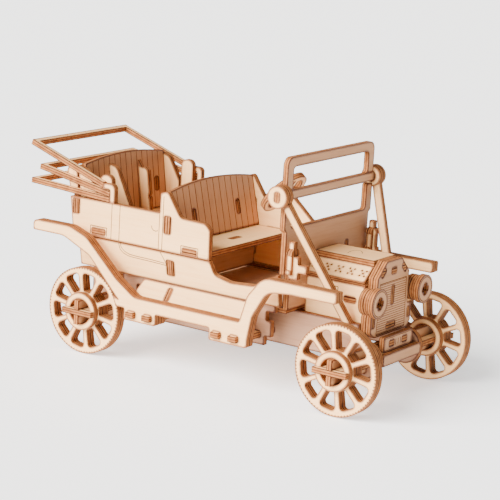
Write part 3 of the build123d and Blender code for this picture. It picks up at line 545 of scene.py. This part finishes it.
class SideFace(Face):
    """Outer face of a board on one side of the car, with places counted forward and up."""

    def __init__(self, side, y, z=0.0, lean=0.0):
        super().__init__(at(0, side * y, z), X * -side, tipped(lean, Y * side))
        self.way = -side

    def spot(self, forward, up):
        return super().spot(self.way * forward, up)


# ------------------------------------------------------------------ seat backs
SEAT_BACKS = (
    # name, lean, top at the sides, top in the middle, plank width, slot y, slot up the board
    ("front_seat", 13.0, 95.4, 98.8, 5.6, 20.5, 12.4),
    ("rear_seat", 8.0, 101.4, 104.4, 4.9, 27.0, 14.0),
)
PLANK_JOINTS = range(-6, 7)
PLANK_FOOT = 0.4        # a plank line starts this far above the board's foot
PLANK_TOP = 0.3         # and stops this far below its top
BACK_TAB = (3.0, 7.4)
BACK_TAB_PROUD = -0.25
for name, lean, side_top, middle_top, plank, slot_y, slot_up in SEAT_BACKS:
    low, high = corners(f"{name}_back")
    slant = math.cos(math.radians(lean))
    foot_x = high.x - PLY * slant
    front = Face(at(foot_x + PLY / slant, 0, low.z), Y, tipped(lean, -X))
    rear = Face(at(foot_x, 0, low.z), -Y, tipped(lean, -X))
    planks = []
    for joint in PLANK_JOINTS:
        y = joint * plank
        arch = middle_top - (middle_top - side_top) * (y / high.y) ** 2
        rise = (arch - low.z) / slant
        planks += front.line([(y, PLANK_FOOT), (y, rise - PLANK_TOP)])
    engrave(f"{name}_plank_lines", planks)
    tabs = [face.tab(y, slot_up, *BACK_TAB, BACK_TAB_PROUD)
            for face in (front, rear) for y in (-slot_y, slot_y)]
    fill_slots(f"{name}_tab_ends", tabs, END_ALONG_CAR)

SEAT_TAB = (-17.5, 0, 2.8, 8.8)     # forward, left, width and length
seat = Face(at(0, 0, corners("front_seat_board")[1].z), X, Y)
fill_slots("front_seat_board_tab", [seat.tab(*SEAT_TAB, TAB_SUNK)], END_ACROSS_CAR)

# ------------------------------------------------------------------ body sides
# Upper side: places forward of mid wheelbase and above the ground.
FRAME_LINES = ((-70.5, 84.0), (-65.0, 84.0), (-38.3, 84.0), (-36.0, 93.6))
FRAME_LINE_FOOT = 64.6
DOOR_HANDLE = ((-43.4, 76.6), (-43.0, 75.2), (-42.0, 74.3), (-40.4, 74.0), (-39.0, 74.6))
FLOOR_TABS = ((-79.2, 67.4), (-17.9, 66.4))
FLOOR_TAB = (8.8, 2.7)
SURROUND_REACH = 5.6    # half the length of the line drawn around a floor tab
SURROUND_BELOW, SURROUND_ABOVE = 1.9, 2.7
SEAT_BACK_TABS = ((-32.9, 78.5, 3.2, 9.0), (-95.2, 79.2, 3.0, 7.8))

# Lower side and apron: places forward of mid wheelbase and up the slanted board.
LOWER_FOOT_Y = 38.2
DOOR_LINE = ((-65.2, 17.0), (-64.4, 13.8), (-62.4, 12.0), (-59.4, 10.9), (-56.0, 10.6),
             (-44.0, 10.4), (-33.6, 10.0))
DOOR_SHIFT = (0.9, 1.1)     # from the outer door line to the inner one
DOOR_INNER_END = (-34.6, 11.1)
DOOR_CORNER = ((-37.2, 17.2), (-35.0, 13.6), (-32.6, 9.0))
LOWER_TAB = (-30.8, 9.0, 3.4, 8.0)
APRON_LEAN = 36.0
APRON_TAB = (-29.1, 4.95, 2.8, 7.0)

# Hood side: places forward of mid wheelbase and above the ground.
HOOD_SIDE_TAB = (68.5, 53.0, 6.6, 2.4)
HOOD_MARK = ((57.4, 55.4), (57.4, 58.4), (59.2, 58.4), (59.2, 55.4))
HOOD_MARK_END = ((59.2, 58.4), (61.0, 58.4), (61.0, 55.4))

upper_low, upper_high = corners("upper_side_left")
lower_foot = corners("lower_side_left")[0].z
lower_lean = math.degrees(math.atan2(upper_high.y - LOWER_FOOT_Y, upper_low.z - lower_foot))
apron_low, apron_high = corners("apron_left")
apron_foot = apron_low.z + PLY * math.sin(math.radians(APRON_LEAN))
hood_y = corners("hood_side_left")[1].y
for side_name, side in SIDES:
    upper = SideFace(side, upper_high.y)
    lines = []
    for x, top in FRAME_LINES:
        lines += upper.line(((x, FRAME_LINE_FOOT), (x, top)))
    lines += upper.line(DOOR_HANDLE)
    for x, z in FLOOR_TABS:
        back, ahead = x - SURROUND_REACH, x + SURROUND_REACH
        foot, top = z - SURROUND_BELOW, z + SURROUND_ABOVE
        lines += upper.line(((back, foot), (back, top), (ahead, top), (ahead, foot)))
    engrave(f"upper_side_lines_{side_name}", lines)
    ends = [upper.tab(*tab) for tab in SEAT_BACK_TABS]
    fill_slots(f"upper_side_seat_tabs_{side_name}", ends, END_ACROSS_CAR)
    ends = [upper.tab(x, z, *FLOOR_TAB) for x, z in FLOOR_TABS]
    fill_slots(f"upper_side_floor_tabs_{side_name}", ends, END_LEVEL)

    lower = SideFace(side, LOWER_FOOT_Y, lower_foot, lower_lean)
    inner_line = [(x + DOOR_SHIFT[0], up + DOOR_SHIFT[1]) for x, up in DOOR_LINE[:-1]]
    lines = lower.line(DOOR_LINE)
    lines += lower.line(inner_line + [DOOR_INNER_END])
    lines += lower.line(DOOR_CORNER)
    engrave(f"lower_side_lines_{side_name}", lines)
    fill_slots(f"lower_side_tab_{side_name}", [lower.tab(*LOWER_TAB)], END_ACROSS_CAR)

    apron = SideFace(side, apron_high.y, apron_foot, -APRON_LEAN)
    fill_slots(f"apron_tab_{side_name}", [apron.tab(*APRON_TAB)], END_ACROSS_CAR)

    hood = SideFace(side, hood_y)
    fill_slots(f"hood_side_tab_{side_name}", [hood.tab(*HOOD_SIDE_TAB)], END_LEVEL)
    engrave(f"hood_side_marks_{side_name}", hood.line(HOOD_MARK) + hood.line(HOOD_MARK_END))

# ------------------------------------------------------------------ radiator
# Places left of the middle and above the ground.
GRILLE_BOTTOM, GRILLE_TOP = 35.8, 62.6
GRILLE_LINES = 22
GRILLE_LINE_WIDTH = 0.36
GRILLE_HALF = 14.2          # half the lowest line's length
GRILLE_TAPER = 0.9          # what the highest line's half is shorter by
BORDER_HALF, BORDER_HALF_TOP = 14.4, 13.4
GRILLE_GAPS = ((1.6, 50.0, 60.0), (4.8, 37.5, 40.5))    # half width, bottom and top
GAP_MARGIN = 0.3
RADIATOR_TAB_PROUD = -0.2
UPRIGHT_TABS = ((0, 55.0, 2.5, 9.6), (-18.0, 43.0, 2.5, 5.0), (18.0, 43.0, 2.5, 5.0))
CROSSBAR_TAB = (0, 39.0, 8.6, 2.5)
CROWN_TAB = (0, 68.0, 4.8, 2.9)
CROWN_TAB_PROUD = 0.1
SHOULDER_Y, SHOULDER_Z = 10.6, 68.2
SHOULDER_TURN = 43.6
SHOULDER_TAB = (0, 0, 5.0, 2.5)

radiator_x = corners("radiator_front")[1].x
core = Face(at(radiator_x, 0, 0), Y, Z)
lines = []
for step in range(GRILLE_LINES):
    share = (step + 0.5) / GRILLE_LINES
    z = GRILLE_BOTTOM + (GRILLE_TOP - GRILLE_BOTTOM) * share
    half = GRILLE_HALF - GRILLE_TAPER * share
    inner = 0.0
    for gap, low, high in GRILLE_GAPS:
        if low - GAP_MARGIN < z < high + GAP_MARGIN:
            inner = gap
    runs = ((-half, -inner), (inner, half)) if inner else ((-half, half),)
    for start, end in runs:
        lines += core.line(((start, z), (end, z)), GRILLE_LINE_WIDTH)
border = ((-BORDER_HALF, GRILLE_BOTTOM), (-BORDER_HALF_TOP, GRILLE_TOP),
          (BORDER_HALF_TOP, GRILLE_TOP), (BORDER_HALF, GRILLE_BOTTOM))
lines += core.line(border + border[:1], BOLD_LINE)
engrave("radiator_grille_lines", lines)
ends = [core.tab(*tab, RADIATOR_TAB_PROUD) for tab in UPRIGHT_TABS]
fill_slots("radiator_upright_tabs", ends, END_ALONG_CAR)
ends = [core.tab(*CROSSBAR_TAB, RADIATOR_TAB_PROUD),
        core.tab(*CROWN_TAB, CROWN_TAB_PROUD)]
fill_slots("radiator_level_tabs", ends, END_LEVEL)
ends = []
for side in (-1, 1):
    turn = math.radians(SHOULDER_TURN) * side
    shoulder = Face(at(radiator_x, side * SHOULDER_Y, SHOULDER_Z),
                    Y * math.cos(turn) - Z * math.sin(turn),
                    Z * math.cos(turn) + Y * math.sin(turn))
    ends.append(shoulder.tab(*SHOULDER_TAB, RADIATOR_TAB_PROUD))
fill_slots("radiator_shoulder_tabs", ends, END_LEVEL)

# ------------------------------------------------------------------ hood, windscreen and lamps
HOOD_ARCH = ((57.4, -5.4), (56.4, -1.0), (56.6, 2.2), (58.0, 4.2), (60.0, 4.2), (61.8, 2.4),
             (63.4, -0.4))      # forward and left
HOOD_ARCH_WIDTH = 0.45
WINDSCREEN_TAB = (19.6, 71.5, 2.5, 5.0)
LAMP_RING_RADIUS = 6.7
hood_top = Face(at(0, 0, corners("hood_top")[1].z), X, Y)
engrave("hood_top_arch_line", hood_top.line(HOOD_ARCH, HOOD_ARCH_WIDTH))
panel = Face(at(corners("windscreen_board")[1].x, 0, 0), Y, Z)
fill_slots("windscreen_board_tab", [panel.tab(*WINDSCREEN_TAB, TAB_SUNK)], END_ALONG_CAR)
for side_name, side in SIDES:
    low, high = corners(f"headlamp_{side_name}")
    middle = (low + high) / 2
    lens = Face(at(high.x, middle.y, 0), Y, Z)
    ring = [lens.ring(0, middle.z, LAMP_RING_RADIUS)]
    lay_copies(f"headlamp_ring_{side_name}", "car", BURNT_RING, ring, CHAR)

# ------------------------------------------------------------------ number plate
PLATE_LIFT = 0.025          # the marks stand this far out of the plate
PLATE_HALF = 13.4
PLATE_BOTTOM, PLATE_TOP = 28.3, 34.5
STROKES = (-2.4, 0.0, 2.4)
STROKE_BOTTOM, STROKE_TOP = 29.8, 33.0
PLATE_TAB_Y, PLATE_TAB_Z = 6.5, 31.4
PLATE_TAB = (4.7, 2.9)
PLATE_TAB_PROUD = 0.0
plate = Face(at(corners("number_plate")[1].x + PLATE_LIFT, 0, 0), Y, Z)
border = ((-PLATE_HALF, PLATE_BOTTOM), (PLATE_HALF, PLATE_BOTTOM),
          (PLATE_HALF, PLATE_TOP), (-PLATE_HALF, PLATE_TOP))
marks = plate.line(border + border[:1], FINE_LINE)
for y in STROKES:
    marks += plate.line(((y, STROKE_BOTTOM), (y, STROKE_TOP)), BOLD_LINE)
engrave("number_plate_lines", marks)
ends = [plate.tab(y, PLATE_TAB_Z, *PLATE_TAB, PLATE_TAB_PROUD)
        for y in (-PLATE_TAB_Y, PLATE_TAB_Y)]
fill_slots("number_plate_tabs", ends, END_LEVEL)

# ------------------------------------------------------------------ wheels
TREAD_NOTCHES = 80
NOTCH_WIDTH = 0.7
NOTCH_LENGTH = 1.0
NOTCH_MARGIN = 0.1          # between a notch's end and the tyre's edge
for end_name in ("rear", "front"):
    for side_name, side in SIDES:
        low, high = corners(f"wheel_{end_name}_{side_name}")
        radius = high.z / 2
        disc = SideFace(side, max(abs(low.y), abs(high.y)) - PLY)
        hub = disc.spot((low.x + high.x) / 2, radius)
        far = (radius - NOTCH_MARGIN) * MM
        near = far - NOTCH_LENGTH * MM
        notches = []
        for step in range(TREAD_NOTCHES):
            turn = math.tau * step / TREAD_NOTCHES
            out = disc.across * math.cos(turn) + disc.up * math.sin(turn)
            notches.append(line_frame(hub + out * near, hub + out * far, disc.normal, NOTCH_WIDTH))
        body = f"wheel_{end_name}_{side_name}_turning"
        lay_copies(f"tread_notches_{end_name}_{side_name}", body, BURNT_LINE, notches, CHAR)

for pattern in (BURNT_LINE, TAB_END, BURNT_RING):
    bpy.data.objects.remove(pattern)

set_camera()
set_studio()
